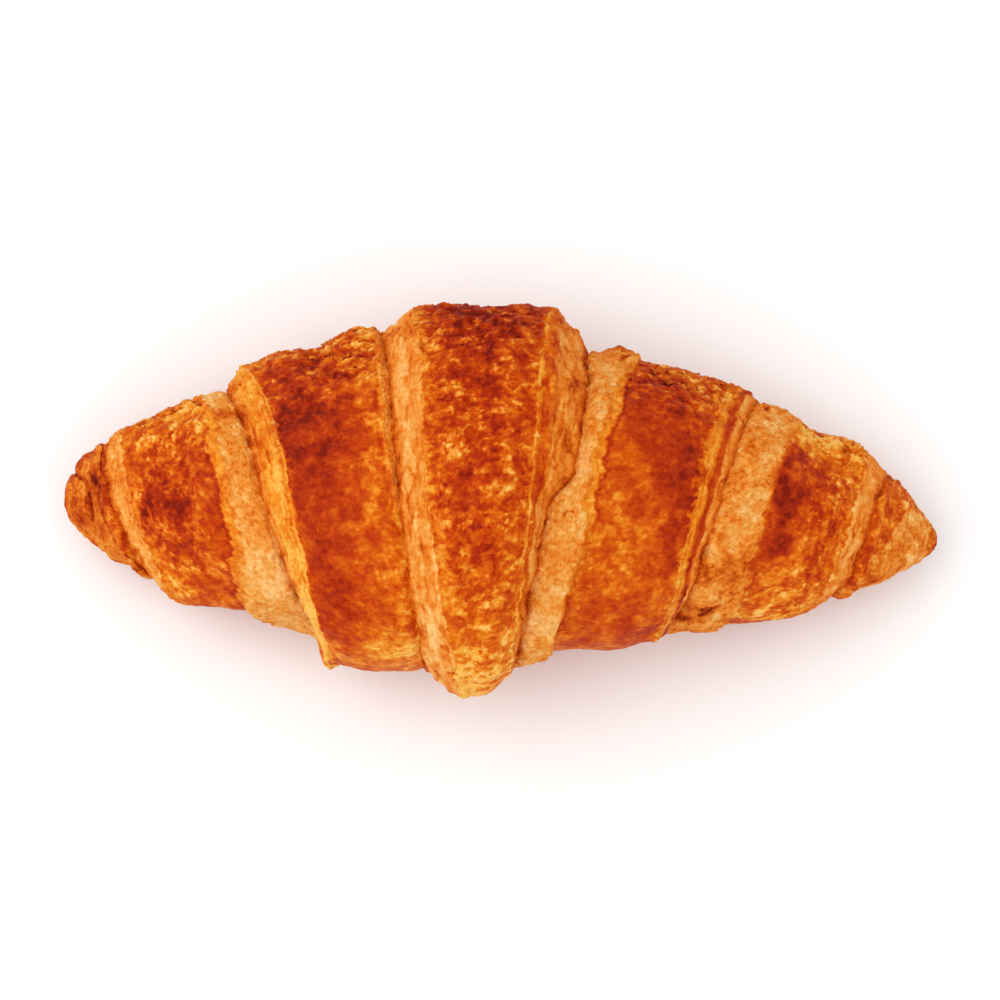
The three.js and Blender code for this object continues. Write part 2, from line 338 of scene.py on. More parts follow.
def relief(x, winding):
    """The slow lumps and the knobs of the crust."""
    angle = np.radians(winding)
    total = 0
    for height, waves, around, phase in LUMPS:
        total = total + height * np.sin(waves * x / HALF_LENGTH + around * angle + phase)
    for at, turn, reach, spread, height in KNOBS:
        total = total + height * bump((x - at) / reach) * bump(angle_from(turn, winding) / spread)
    beyond = -x - per_eighth(LOBE_X, winding)
    step = per_eighth(LOBE_STEP, winding)
    crevice = LOBE_CREVICE * step * bump((beyond - 0.5 * LOBE_SLOPE) / LOBE_CREVICE_WIDTH)
    return total - np.where(x < 0, step * smooth(beyond / LOBE_SLOPE + 0.5) + crevice, 0)


def place(x, radius, winding):
    """Points in space from a place along the length, a radius and a winding angle."""
    angle = np.radians(winding)
    share = np.abs(x) / HALF_LENGTH
    into_cap = np.clip((np.abs(x) - HALF_LENGTH + END_CAP) / END_CAP, 0, 1)
    r = (radius + relief(x, winding) * np.minimum(1, radius / FULL_RADIUS)) * np.sqrt(1 - into_cap**2)
    sideways = np.where(x < 0, SIDEWAYS_AT_LEFT_END, SIDEWAYS_AT_RIGHT_END) * share**SIDEWAYS_BEND
    height = mix(AXIS_HEIGHT, AXIS_HEIGHT_AT_END, share**HEIGHT_BEND)
    rise = np.where(np.sin(angle) > 0, TOP_RISE, UNDER_DROP)
    return np.stack([x, sideways - r * np.cos(angle), height + r * rise * np.sin(angle)], axis=-1)


# Zones across a band, and how far its hidden margins, its crevice and its step reach, in millimetres.
TUCK, SHOULDER, GLAZE, EDGE, UNDER = range(5)
TUCK_REACH = 2.4
TUCK_DROP = 1.5
UNDER_REACH = 1.2
UNDER_SINK = 2.2
CREVICE_DEPTH = 1.3
CREVICE_WIDTH = 1.0
STEP_WIDTH = 0.9
SHELL = 3.0

# Low on the left front the second rim's edge stays level and then drops straight to its foot.
LEVEL_AT = 354
LEVEL_SPREAD = 26

# Each edge steps down over two ledges: where they lie between rim and foot, and how softly they fall.
LEDGES = [(0.3, 0.16), (0.68, 0.2)]
WIDE_EDGE = 5.0
THINNEST_ROLL = 6
SHEET_HEIGHT = 0.36
THREAD_HEIGHT = 0.12
GROOVE_DEPTH = 0.12

# Torn curls of dough: X, angle, reach along X, spread in degrees.
CURLS = [
    (11.9, 77, 1.0, 1.7),
    (8.6, 74, 0.9, 1.5),
    (-7.6, 16, 1.6, 3.4),
    (36.5, 18, 1.4, 3),
    (-54.2, 139, 1.3, 5),
    (-31, 158, 2, 4),
    (-24, 160, 2, 4),
    (24, 152, 2, 4),
    (38, 140, 1.6, 4),
    (49.5, 150, 1.8, 6),
]


def columns(counts):
    """(zone, place within the zone) for each column, from the inner tuck to the outer one."""
    zones, places = [], []
    for zone, count in counts:
        ends = np.linspace(0, 1, count + 1)[:-1]
        zones += [zone] * count
        places += list(ends)
    zones.append(counts[-1][0])
    places.append(1.0)
    return np.array(zones), np.array(places)


def edge_profile(side, winding, t, seed):
    """The layered edge from rim to foot: worn sheets of dough, whose lines wander, split and meet."""
    x0, r0 = rim(side, winding)
    x1, r1 = foot(side, winding)
    full = np.hypot(x1 - x0, r1 - r0)
    size = np.minimum(1, full / WIDE_EDGE)
    across = t * full
    run = np.radians(winding) * np.maximum(r0, THINNEST_ROLL) + 0 * t
    apart = seed + 0 * run
    drift = 0.75 * NOISE[2](run / 9, across / 5, apart) + 0.3 * NOISE[3](run / 3.1, across / 2, apart)
    line = across + drift
    sheet = NOISE[4](line / 2.3, run / 14, apart) + 0.4 * NOISE[6](line / 2.2, run / 4, apart)
    thread = NOISE[5](line / 0.7, run / 6, apart)
    groove = bump(sheet / 0.11) * smooth(0.4 + 1.8 * NOISE[7](line / 3, run / 5, apart))
    ledge = sum(0.5 * smooth((t + 0.12 * drift - at) / fall) for at, fall in LEDGES)
    level = bump((winding - LEVEL_AT) / LEVEL_SPREAD) if side is LEFT else 0
    radius = r0 - (r0 - r1) * mix(mix(t**0.9, ledge, 0.5), t**6, level)
    away = smooth(t * 8) * smooth((1 - t) * 6)
    radius = radius + size * away * (SHEET_HEIGHT * sheet + THREAD_HEIGHT * thread - GROOVE_DEPTH * groove)
    warped = np.clip(t + 0.2 * drift * away, 0, 1)
    return mix(x0, x1, t), radius, sheet + 0.45 * thread, groove, warped


# The shoulder's border is ragged, and more so from the second turn on. Its share keeps to these limits.
RAGGED_BORDER = 0.014
FRAYED_BORDER = 0.01
RAGGED_FROM = 630
LEAST_SHARE = 0.03
MOST_SHARE = 0.6


def shoulder_and_glaze(side, winding, zone, t):
    """A further band between the crevice at its start and its own rim."""
    under_tongue = tongue(winding - TURN)
    beyond_tip = winding - TURN > TIP_ANGLE
    mid_x, mid_r = middle(winding)
    foot_x, foot_r = foot(side, winding - TURN)
    from_x = np.where(beyond_tip, foot_x, mid_x)
    from_r = np.where(beyond_tip, foot_r, mid_r)
    to_x, to_r = rim(side, winding)
    share = np.interp(winding, *SHOULDER_SHARES["left" if side is LEFT else "right"])
    ragged = 1 + smooth((winding - RAGGED_FROM) / 40)
    share = share + RAGGED_BORDER * ragged * along(winding + 31 * side["sign"], 8, 6)
    share = share + FRAYED_BORDER * ragged * along(winding, 2.2, 7)
    share = np.clip(share, LEAST_SHARE, MOST_SHARE)
    across = np.where(zone == SHOULDER, t * share, mix(share, 1, t))
    across = np.where(zone == TUCK, 0, across)
    swell = mix(CROWN, CROWN_AT_END, np.abs(to_x) / HALF_LENGTH) * (1 - (2 * across - 1) ** 4)
    lift = per_quarter(side["shoulder_height"], winding) * 0.5 * under_tongue
    beyond = np.clip((across - share) / (1 - share), 0, 1)
    step = smooth((across - share) * np.abs(to_x - from_x) / STEP_WIDTH + 0.5)
    saw = mix(np.minimum(1, across / share) ** 0.6, -((1 - beyond) ** 1.4), step)
    x = mix(from_x, to_x, across)
    radius = mix(from_r, to_r, across**1.25) + swell + lift * saw
    width = np.abs(to_x - from_x)
    start = across * width / CREVICE_WIDTH
    radius = radius - CREVICE_DEPTH * under_tongue * np.minimum(1, from_r / FULL_RADIUS) * bump(start)
    tucked = np.where(zone == TUCK, 1 - t, 0) * under_tongue
    x = x - side["sign"] * TUCK_REACH * tucked
    radius = radius - TUCK_DROP * tucked
    return x, radius, across, share


# How far each edge has baked from its rim to its foot, and how much of it the glaze has run over.
EDGE_TONES = {
    ("left", 0): ([0, 0.3, 0.44, 0.52, 1], [0.2, 0.31, 0.27, 0.13, 0.24]),
    ("right", 0): ([0, 0.05, 0.12, 0.38, 0.46, 0.55, 1], [0.15, 0.25, 0.43, 0.42, 0.18, 0.29, 0.32]),
    ("left", 1): ([0, 0.1, 0.3, 0.55, 0.75, 1], [0.1, 0.26, 0.08, 0.2, 0.1, 0.26]),
    ("right", 1): ([0, 0.1, 0.28, 0.42, 0.56, 0.7, 0.8, 1], [0.18, 0.32, 0.18, 0.28, 0.62, 0.56, 0.2, 0.32]),
    ("left", 2): ([0, 0.2, 0.5, 1], [0.12, 0.22, 0.16, 0.38]),
    ("right", 2): ([0, 0.2, 0.5, 1], [0.2, 0.3, 0.2, 0.42]),
}
EDGE_GLAZE = {("right", 0): 0.42, ("left", 1): 0.9, ("right", 1): 0.76}
SHOULDER_TONES = {("left", 1): 0.27, ("right", 1): 0.18, ("left", 2): 0.16, ("right", 2): 0.26}
SHOULDER_MOTTLES = {("left", 1): 0, ("right", 1): 0.3, ("left", 2): 0.2, ("right", 2): 0.8}

# How wide the golden strip is, in millimetres, where the glaze thins out towards the shoulder: angles, and
# widths there.
GOLD_STRIPS = {
    ("left", 1): ([0, 360], [0.6, 0.6]),
    ("right", 1): ([0, 70, 82, 125, 150, 360], [0.5, 0.5, 1.9, 2.2, 0.6, 0.6]),
    ("left", 2): ([0, 120, 150, 360], [2.2, 2.0, 0.6, 0.6]),
    ("right", 2): ([0, 360], [0.2, 0.2]),
}

# How far from each rim, in millimetres, the glaze is thin and breaks up into golden flecks.
THIN_RIMS = {
    ("left", 0): 2.4,
    ("right", 0): 0.8,
    ("left", 1): 0.4,
    ("right", 1): 1.1,
    ("left", 2): 2.8,
    ("right", 2): 3.2,
}

# The smooth dark patch of the right side's second turn: angles, and the shares of the band's width between
# which it lies there.
SMOOTH_PATCH = (
    [56, 67, 78, 98, 112, 123, 134],
    [0.4, 0.385, 0.37, 0.385, 0.385, 0.4, 0.43],
    [0.58, 0.62, 0.66, 0.67, 0.6, 0.54, 0.44],
)


# Further than any border of the glaze reaches, in millimetres.
FAR = 20.0
# Marks that finish_band reads; crevice and seam also carry painted shade.
MARKS = ("dull", "edge", "strip", "stripe", "groove", "thin", "tone", "crevice", "patch", "seam", "mottle")


def blank(shape):
    """What finish_band reads at each point. Distances are in millimetres: border is how far it lies on the
    glazed side of the shoulder's border, overrim how far beyond the rim, and gold the golden strip's
    width."""
    marks = {name: np.zeros(shape) for name in MARKS}
    marks["border"] = np.full(shape, FAR)
    marks["overrim"] = np.full(shape, -FAR)
    marks["gold"] = np.full(shape, -1.0)
    return marks


def edge_marks(marks, which, on_edge, warped, sheet, groove):
    """Baking of a layered edge, painted shade at its foot down in the crevice, and the strip of it that
    carries glaze.
    """
    strip = smooth((EDGE_GLAZE.get(which, 0) - warped) / 0.06)
    marks["edge"] += on_edge
    marks["strip"] += np.where(on_edge, strip, 0)
    marks["stripe"] += np.where(on_edge, sheet * (1 - 0.2 * strip), 0)
    marks["groove"] += np.where(on_edge, groove, 0)
    marks["tone"] = np.where(on_edge, np.interp(warped, *EDGE_TONES[which]), marks["tone"])
    # Painted shade: the edge darkens towards its foot, where it goes down into the crevice.
    marks["crevice"] += np.where(on_edge, smooth((warped - 0.9) / 0.1), 0)


def smooth_patch(w, across):
    """How far each place lies inside the smooth dark patch, whose border wanders."""
    angles, starts, stops = SMOOTH_PATCH
    angle = w % TURN
    start = np.interp(angle, angles, starts) + 0.008 * along(w, 3, 4)
    stop = np.interp(angle, angles, stops) + 0.03 * along(w, 4, 3) + 0.02 * along(w, 1.7, 5)
    inside = smooth((across - start) / 0.015) * smooth((stop - across) / 0.03)
    return inside * smooth((angle - angles[0]) / 6) * smooth((angles[-1] - angle) / 4)


# How wide the painted shade in a crevice is, in millimetres, and how much the golden strip's width varies.
CREVICE_SHADE_WIDTH = 0.9
STRIP_VARIES = 0.35


def side_band(side, winding, zones, places, which):
    """Outer surface of a band that isn't the tongue: points along x and radius, and its marks."""
    w = winding[:, None]
    zone = zones[None, :]
    t = places[None, :]
    shape = (len(winding), len(zones))
    crust_t = np.where(zone > GLAZE, 1, t)
    x, radius, across, share = shoulder_and_glaze(side, w, np.minimum(zone, GLAZE), crust_t)
    edge_t = np.where(zone == EDGE, t, np.where(zone == UNDER, 1, 0))
    ex, er, sheet, groove, warped = edge_profile(side, w, edge_t, 40 * side["sign"])
    x = np.where(zone >= EDGE, ex, x)
    radius = np.where(zone >= EDGE, er, radius)
    under = np.where(zone == UNDER, t, 0)
    x = x + side["sign"] * UNDER_REACH * under
    radius = radius - UNDER_SINK * under
    marks = blank(shape)
    formed = tongue(w - TURN)
    on_edge = np.broadcast_to(zone >= EDGE, shape)
    rim_x, _ = rim(side, w)
    marks["overrim"][:] = side["sign"] * (x - rim_x)
    from_x = side["sign"] * (x - x[:, zones == TUCK][:, -1:])
    shoulder_width = share * np.abs(rim_x - x[:, zones == TUCK][:, -1:])
    border = from_x - shoulder_width + FAR * (1 - smooth(formed * 3))
    marks["border"] = np.where(on_edge, FAR, border)
    marks["tone"] += SHOULDER_TONES[which]
    marks["mottle"] = np.where(on_edge, 0, SHOULDER_MOTTLES[which])
    edge_marks(marks, which, on_edge, warped, sheet, groove)
    # Painted shade: the dough darkens where the band comes out of the crevice.
    marks["crevice"] += bump(from_x / CREVICE_SHADE_WIDTH) * (zone <= SHOULDER) * formed
    strip = np.interp(w % TURN, *GOLD_STRIPS[which]) * (1 + STRIP_VARIES * along(w + 7, 6, 9))
    marks["gold"] = np.where(on_edge, -1.0, strip)
    marks["thin"] += THIN_RIMS[which]
    if which == ("right", 2):
        marks["patch"] += smooth_patch(w, across) * (zone == GLAZE)
    return x, radius, marks


# How far the tongue's band swells on each side of its middle line, in millimetres.
TONGUE_SWELL = 0.5


def tongue_band(winding, zones, places):
    """The outermost band, with an edge on both sides: zones run from left to right."""
    w = winding[:, None]
    zone = zones[None, :]
    t = places[None, :]
    shape = (len(winding), len(zones))
    mid_x, mid_r = middle(w)
    x = np.zeros(shape)
    radius = np.zeros(shape)
    marks = blank(shape)
    for side, chosen, word in ((LEFT, zone < 0, "left"), (RIGHT, zone >= 0, "right")):
        kind = np.abs(zone) if side is LEFT else zone
        rx, rr = rim(side, w)
        crust_t = np.where(kind == GLAZE, t, 1)
        bx = mix(mid_x, rx, crust_t)
        swell = TONGUE_SWELL * np.sin(np.pi * crust_t) ** 2 * tongue(w)
        br = mix(mid_r, rr, crust_t**2) + swell
        edge_t = np.where(kind == EDGE, t, np.where(kind == UNDER, 1, 0))
        ex, er, sheet, groove, warped = edge_profile(side, w, edge_t, 90 * side["sign"])
        under = np.where(kind == UNDER, t, 0) * tongue(w)
        ex = ex + side["sign"] * UNDER_REACH * under
        er = er - UNDER_SINK * under
        on_edge = (kind >= EDGE) & chosen
        x = np.where(chosen, np.where(on_edge, ex, bx), x)
        radius = np.where(chosen, np.where(on_edge, er, br), radius)
        edge_marks(marks, (word, 0), np.broadcast_to(on_edge, shape), warped, sheet, groove)
        overrim = side["sign"] * (np.where(on_edge, ex, bx) - rx)
        marks["overrim"] = np.where(chosen, overrim, marks["overrim"])
        marks["tone"] = np.where(chosen & ~on_edge, EDGE_TONES[(word, 0)][1][0], marks["tone"])
        marks["thin"] += np.where(chosen, THIN_RIMS[(word, 0)], 0)
    return x, radius, marks


# Darker and paler places of the crust: X, angle, reach, spread in degrees, and how much darker.
BAKED_PLACES = [
    (-3, 152, 13, 26, 0.5),
    (-5, 100, 9, 26, 0.17),
    (-4, 70, 8, 16, 0.1),
    (-4, 40, 9, 22, -0.14),
    (-7, 8, 10, 17, -0.42),
    (-9, 26, 5, 8, -0.2),
    (-8, -16, 8, 9, -0.3),
    (-36, 118, 9, 34, 0.36),
    (-31, 80, 7, 34, 0.19),
    (-28, 40, 5, 16, 0.26),
    (-20, 50, 5, 46, -0.1),
    (-22, 20, 9, 16, -0.16),
    (-25, 150, 4, 22, -0.05),
    (33, 92, 6.5, 42, 0.3),
    (26, 135, 8, 16, 0.3),
    (21.4, 168, 3, 14, 0.5),
    (19, 52, 7, 34, -0.07),
    (24, 22, 9, 10, 0.16),
    (28, -8, 10, 14, 0.12),
    (58, 85, 5, 50, 0.17),
    (51, 12, 9, 18, -0.16),
    (58, 148, 9, 20, -0.26),
    (-62.3, 80, 1.2, 15, 0.42),
    (-63.3, 66, 1.2, 10, 0.3),
    (-57, 75, 6, 40, 0.27),
    (-58, 34, 6, 10, -0.12),
    (69.5, 75, 3, 26, -0.14),
    (-60, 12, 9, 16, -0.14),
    (-56, 140, 8, 16, -0.16),
    (-73.2, 98, 1.2, 12, 0.45),
    (68.3, 40, 2.4, 34, 0.2),
]
BAKE_LEVEL = 0.5

# Toasted and pale places of the unglazed dough: the same five numbers.
TOASTED_PLACES = [
    (-49, 131, 4, 5, 0.4),
    (-49, 150, 4, 9, -0.1),
    (32.5, 12, 1.6, 5, 0.5),
    (36.5, 24, 2.4, 4, 0.5),
    (42, 48, 5, 18, 0.2),
    (20.8, 167, 2.6, 9, 0.45),
    (7.5, 84, 1.6, 5, 0.3),
    (-7.2, 16, 1.4, 4, 0.4),
    (50, 10, 9, 12, 0.12),
    (-73.2, 98, 1.2, 12, 0.4),
    (-76, 30, 4, 24, 0.2),
    (-42, 110, 8, 34, 0.1),
    (-34, 36, 7, 28, -0.15),
    (-46, 25, 4, 20, -0.12),
    (-11, 36, 4, 26, -0.14),
    (71.5, 80, 4, 60, -0.12),
    (14, 20, 6, 24, -0.1),
]

# Where the glaze is flecked and cracked instead of smooth: the same five numbers.
FLECKED_PLACES = [
    (-3, 90, 15, 80, 0.65),
    (-3, 140, 13, 24, 0.35),
    (-33, 140, 10, 24, 0.7),
    (-39, 70, 3, 40, 0.4),
    (-24, 150, 6, 24, 0.5),
    (34, 145, 13, 20, 0.8),
    (-60, 90, 9, 100, 0.8),
    (60, 85, 8, 90, 0.65),
    (50, 10, 10, 30, 0.7),
    (-7, 10, 9, 22, 0.7),
    (74, 90, 6, 200, 0.7),
    (-76, 90, 5, 200, 0.5),
]
FLECK_LEVEL = 0.22


def places_at(places, level, x, angle):
    total = np.full(x.shape, float(level))
    for at, turn, reach, spread, more in places:
        total = total + more * bump((x - at) / reach) * bump(angle_from(turn, angle) / spread)
    return total


def curls_at(x, angle, noise):
    """The gap under each torn curl, later painted dark as shade, and the raised fold beside it."""
    gap, fold = 0, 0
    for at, turn, reach, spread in CURLS:
        u = (x - at) / reach
        v = angle_from(turn, angle) / spread
        out = np.hypot(u + 0.3 * noise, v) - 1 + 0.4 * noise
        upper = smooth(0.3 + 1.5 * v - 0.5 * u)
        gap = gap + bump(out / 0.22) * upper
        fold = fold + bump((out + 0.5) / 0.4) * upper
    return np.minimum(gap, 1), np.minimum(fold, 1)


# Further out than this, in millimetres, the crust's flecks run round the roll instead of along it.
TURNED_FROM = 48
ROUND_THE_ROLL = (0.8, 1.5, 1.3)

# The noise that the fine relief and the baking read: size in millimetres, first lattice, octaves, gain, and
# stretch along each axis.
FIELDS = {
    "blister": (5.5, 0, 2),
    "patch": (4.6, 9, 4, 0.55),
    "blots": (2.3, 1, 4, 0.6, (1.4, 1, 1)),
    "turned_blots": (2.3, 1, 4, 0.6, ROUND_THE_ROLL),
    "wrinkle": (1.8, 2, 2, 0.5, (2.6, 0.75, 1)),
    "speckle": (1.2, 3, 2, 0.6, (1.3, 1, 1)),
    "lumps": (3.4, 6, 2),
    "grain": (0.9, 4, 2),
    "tear": (1.3, 8, 3, 0.5, (1.5, 0.7, 0.7)),
    "ragged": (2.6, 7, 3, 0.6),
    "curled": (5.2, 4, 2, 0.6),
    "cracks": (3.1, 10, 3, 0.5, (1.6, 0.9, 0.9)),
    "chips": (1.5, 5, 3, 0.6, (1.3, 0.8, 0.8)),
    "turned_chips": (1.3, 5, 3, 0.6, ROUND_THE_ROLL),
    "flaky": (1.7, 11, 3, 0.6, (0.9, 1.5, 1.1)),
    "tan": (4.2, 8, 2, 0.5, (0.8, 1.3, 1.2)),
    "stain": (3.2, 2, 2, 0.5, (0.6, 1.6, 1.2)),
}

# The back of the crust is rougher: its middle and spread in degrees, and where it ends along the length.
BACK_ANGLE = 158
BACK_SPREAD = 32
BACK_END = 78
BACK_FADE = 12

# Heights of the fine relief of the glazed crust, in millimetres.
BLISTERS = 0.3
WRINKLES = 0.07
BACK_WRINKLES = 0.24
CRUST_GRAIN = 0.05
FLECKS = 0.14
CRACKS = 0.12
BLOTS = 0.1
SMOOTH_RISE = 0.12
BACK_RAGGED = 0.42
BACK_CURLED = 0.45
THIN_CHIPS = 0.08
GOLD_RISE = 0.16
CURL_HEIGHT = 0.35

# The same for the unglazed dough and the layered edges: lumps, tears, grain and flakes.
DOUGH_RELIEF = (0.34, 0.2, 0.14, 0.35)
EDGE_RELIEF = (0.16, 0.1, 0.05, 0.14)
DOUGH_BACK_RAGGED = 0.25
FLAKY_MEAN = 0.4

# How far baked: the smooth patch, thin glaze, the line beside the golden strip, and the underside.
PATCH_BAKED = 0.76
GOLDEN_BAKED = 0.26
GOLD_LINE = 0.24
UNDER_BAKED = 0.6

# A point inside the roll that its surface faces away from, as a height in millimetres.
INSIDE_HEIGHT = 14.0
TINY = 1e-9


def outward_normal(base, x):
    normal = np.cross(np.gradient(base, axis=1), np.gradient(base, axis=0))
    length = np.linalg.norm(normal, axis=-1, keepdims=True)
    normal = np.where(length > TINY, normal / np.maximum(length, TINY), 0)
    inside = np.stack([x, np.zeros(x.shape), np.full(x.shape, INSIDE_HEIGHT)], axis=-1)
    return normal * np.sign(np.sum(normal * (base - inside), axis=-1).mean())


def noise_fields(base, x):
    """Each field of noise, shaped for its use."""
    noise = SimpleNamespace(**{name: fbm(base, *values) for name, values in FIELDS.items()})
    turned = smooth((np.abs(x) - TURNED_FROM) / 6)
    noise.blot = smooth((mix(noise.blots, noise.turned_blots, turned) + 0.05) / 0.22)
    noise.chips = mix(noise.chips, noise.turned_chips, turned)
    noise.patch = np.tanh(2 * noise.patch)
    noise.ragged = 1 - 2 * np.abs(noise.ragged)
    noise.curled = 1 - 2 * np.abs(noise.curled)
    noise.flaky = np.abs(noise.flaky)
    noise.tan = smooth(0.5 + 1.1 * noise.tan)
    noise.stain = smooth((noise.stain - 0.1) / 0.15)
    return noise


def surface_kinds(noise, mark, x, angle):
    """How far each place is glazed crust, pale dough or layered edge, and what is on it there."""
    kind = SimpleNamespace()
    kind.back = bump((angle - BACK_ANGLE) / BACK_SPREAD) * smooth((BACK_END - np.abs(x)) / BACK_FADE)
    flecked = np.clip(places_at(FLECKED_PLACES, FLECK_LEVEL, x, angle), 0, 1)
    kind.flecked = flecked * (1 - 0.4 * mark.patch)
    kind.crack = kind.flecked * bump(noise.cracks / 0.075) * smooth(0.5 + 1.4 * noise.blister)
    kind.fleck = kind.flecked * smooth((noise.chips - 0.26) / 0.12) * smooth(0.4 - 0.9 * noise.patch)
    jag = 0.55 * noise.tear + 0.4 * noise.chips
    kind.border = mark.border + 0.7 * jag
    overrim = mark.overrim - 0.5 * jag
    kind.on_glaze = smooth(kind.border / 0.3 + 0.5)
    kind.spilled = smooth(0.5 - overrim / 0.3)
    kind.pale = np.maximum(1 - kind.on_glaze, mark.dull)
    kind.glaze = (1 - kind.pale) * np.maximum(kind.spilled, mark.strip)
    kind.edge = np.clip(1 - kind.glaze - kind.pale, 0, 1)
    kind.gold = smooth((mark.gold - kind.border) / 0.5 + 0.5) * kind.on_glaze
    kind.from_rim = np.abs(mark.overrim)
    thin = mark.thin * (1 + 0.5 * noise.patch)
    thinned = 1.1 - kind.from_rim / np.maximum(thin, 0.05) + 1.5 * noise.chips + 0.5 * noise.speckle
    thinned = np.where(kind.from_rim < 3 * thin, kind.glaze * smooth(thinned), 0)
    kind.thinned = thinned * (1 - mark.edge)
    kind.gap, kind.fold = curls_at(x, angle, noise.speckle)
    return kind


def fine_relief(noise, mark, kind):
    """How far each place stands out along the surface's own normal, in millimetres."""
    wrinkled = (WRINKLES + BACK_WRINKLES * kind.back) * noise.wrinkle
    crust = BLISTERS * noise.blister + wrinkled + CRUST_GRAIN * (1 + kind.flecked) * noise.grain
    crust = crust + FLECKS * kind.fleck - CRACKS * kind.crack - BLOTS * kind.flecked * noise.blot
    crust = crust + kind.back * (BACK_RAGGED * (noise.ragged - 1) + BACK_CURLED * noise.curled)
    crust = crust + SMOOTH_RISE * (mark.patch + noise.blot)
    flakes_up = FLAKY_MEAN - noise.flaky
    lumps, tears, grain, flaked = DOUGH_RELIEF
    dough = lumps * noise.lumps + grain * noise.grain - tears * bump(noise.tear / 0.1) + flaked * flakes_up
    lumps, tears, grain, flaked = EDGE_RELIEF
    layers = lumps * noise.lumps + tears * noise.tear + grain * noise.grain + flaked * flakes_up
    height = kind.glaze * crust + kind.pale * dough + kind.edge * layers
    height += (kind.pale + kind.edge) * DOUGH_BACK_RAGGED * kind.back * noise.ragged
    height += THIN_CHIPS * kind.thinned * (2 * noise.chips - 1) + GOLD_RISE * kind.gold * (mark.gold > 1)
    lip = bump((kind.from_rim - 0.3) / 0.7) * kind.glaze
    height += lip * (0.1 + 0.2 * noise.tear) + CURL_HEIGHT * (kind.fold - kind.gap)
    return height - mark.seam


def baked_crust(noise, mark, kind, x, angle):
    """How dark the glazed crust is, from 0, pale, to 1, dark: its baking, with painted highlight on the
    back's ridges.
    """
    crust = places_at(BAKED_PLACES, BAKE_LEVEL, x, angle)
    crust = mix(crust, PATCH_BAKED + 0.09 * noise.patch, mark.patch)
    crust = crust + 0.12 * noise.patch + (0.08 + 0.12 * kind.flecked) * noise.speckle
    crust = crust - 0.31 * kind.fleck - 0.3 * kind.crack + (0.06 + 0.19 * kind.flecked) * (noise.blot - 0.5)
    # Painted highlight: the ridges and wrinkles of the rough back are paler.
    crust = crust - kind.back * (0.12 * noise.wrinkle + 0.16 * noise.ragged)
    golden = GOLDEN_BAKED + 0.07 * noise.patch + 0.1 * noise.speckle + 0.1 * noise.blot
    crust = mix(crust, np.minimum(crust, golden), 0.85 * kind.thinned)
    crust = mix(crust, golden - 0.04, kind.gold)
    line = bump((kind.border - mark.gold - 0.4) / 0.35)
    return crust + GOLD_LINE * line * kind.on_glaze * smooth(mark.gold - 1)


def baking(noise, mark, kind, x, angle):
    """How dark each place is: the baking of crust, pale dough and layered edges, and painted shade in
    crevices, seams and curl gaps.
    """
    mottled = mark.mottle * (0.14 * noise.patch + 0.16 * (noise.blot - 0.5))
    plain = mark.tone + places_at(TOASTED_PLACES, 0, x, angle) + mottled
    layered = plain + 0.1 * (noise.patch + noise.speckle) + 0.3 * mark.groove - 0.15 * mark.stripe
    crust = baked_crust(noise, mark, kind, x, angle)
    crust = mix(crust, layered, mark.edge * (1 - kind.spilled * smooth(2 - 3 * mark.strip)))
    open_dough = 1 - np.minimum(1, 1.4 * mark.crevice)
    torn = 0.2 * bump(noise.tear / 0.09) * smooth(0.5 + noise.lumps) + 0.2 * bump(noise.flaky / 0.06)
    tanned = noise.tan - 0.4
    # Painted shade: the crumb and the sheets darken in the crevices.
    crumb = plain + 0.18 * tanned + 0.14 * noise.grain + 0.14 * mark.crevice + torn * open_dough
    sheets = plain + 0.16 * mark.crevice - 0.1 * mark.stripe + 0.28 * mark.groove + 0.1 * noise.tear
    sheets = sheets + 0.14 * tanned + 0.12 * bump(noise.flaky / 0.07) + 0.15 * noise.stain
    baked = kind.glaze * crust + kind.pale * crumb + kind.edge * sheets
    # Painted shade: darker along the seams' grooves and in the gaps under the curls.
    return baked + 0.5 * mark.seam + 0.34 * kind.gap - 0.06 * kind.fold


def finish_band(winding, x, radius, marks):
    """Adds the fine relief along the surface's own normal, and works out each place's darkness from baking
    and painted light.
    """
    w = np.broadcast_to(winding[:, None], x.shape)
    angle = w % TURN
    base = place(x, radius, w)
    noise = noise_fields(base, x)
    mark = SimpleNamespace(**marks)
    kind = surface_kinds(noise, mark, x, angle)
    underside = smooth(-(np.sin(np.radians(angle)) + 0.3) * 2.4)
    baked = baking(noise, mark, kind, x, angle)
    # The colour's darkness: baking, with painted shade and painted highlight in it.
    marks["bake_and_painted_light"] = mix(baked, UNDER_BAKED + 0.1 * noise.patch + 0.08 * noise.speckle, underside)
    marks["glaze"] = kind.glaze * (1 - 0.55 * np.maximum(kind.fleck, kind.crack) * (1 - underside))
    marks["gloss"] = kind.glaze * (1 - underside) * (1 - 0.6 * np.maximum(kind.flecked, kind.thinned))
    height = fine_relief(noise, mark, kind) * tongue(w)
    return base + outward_normal(base, x) * height[..., None]


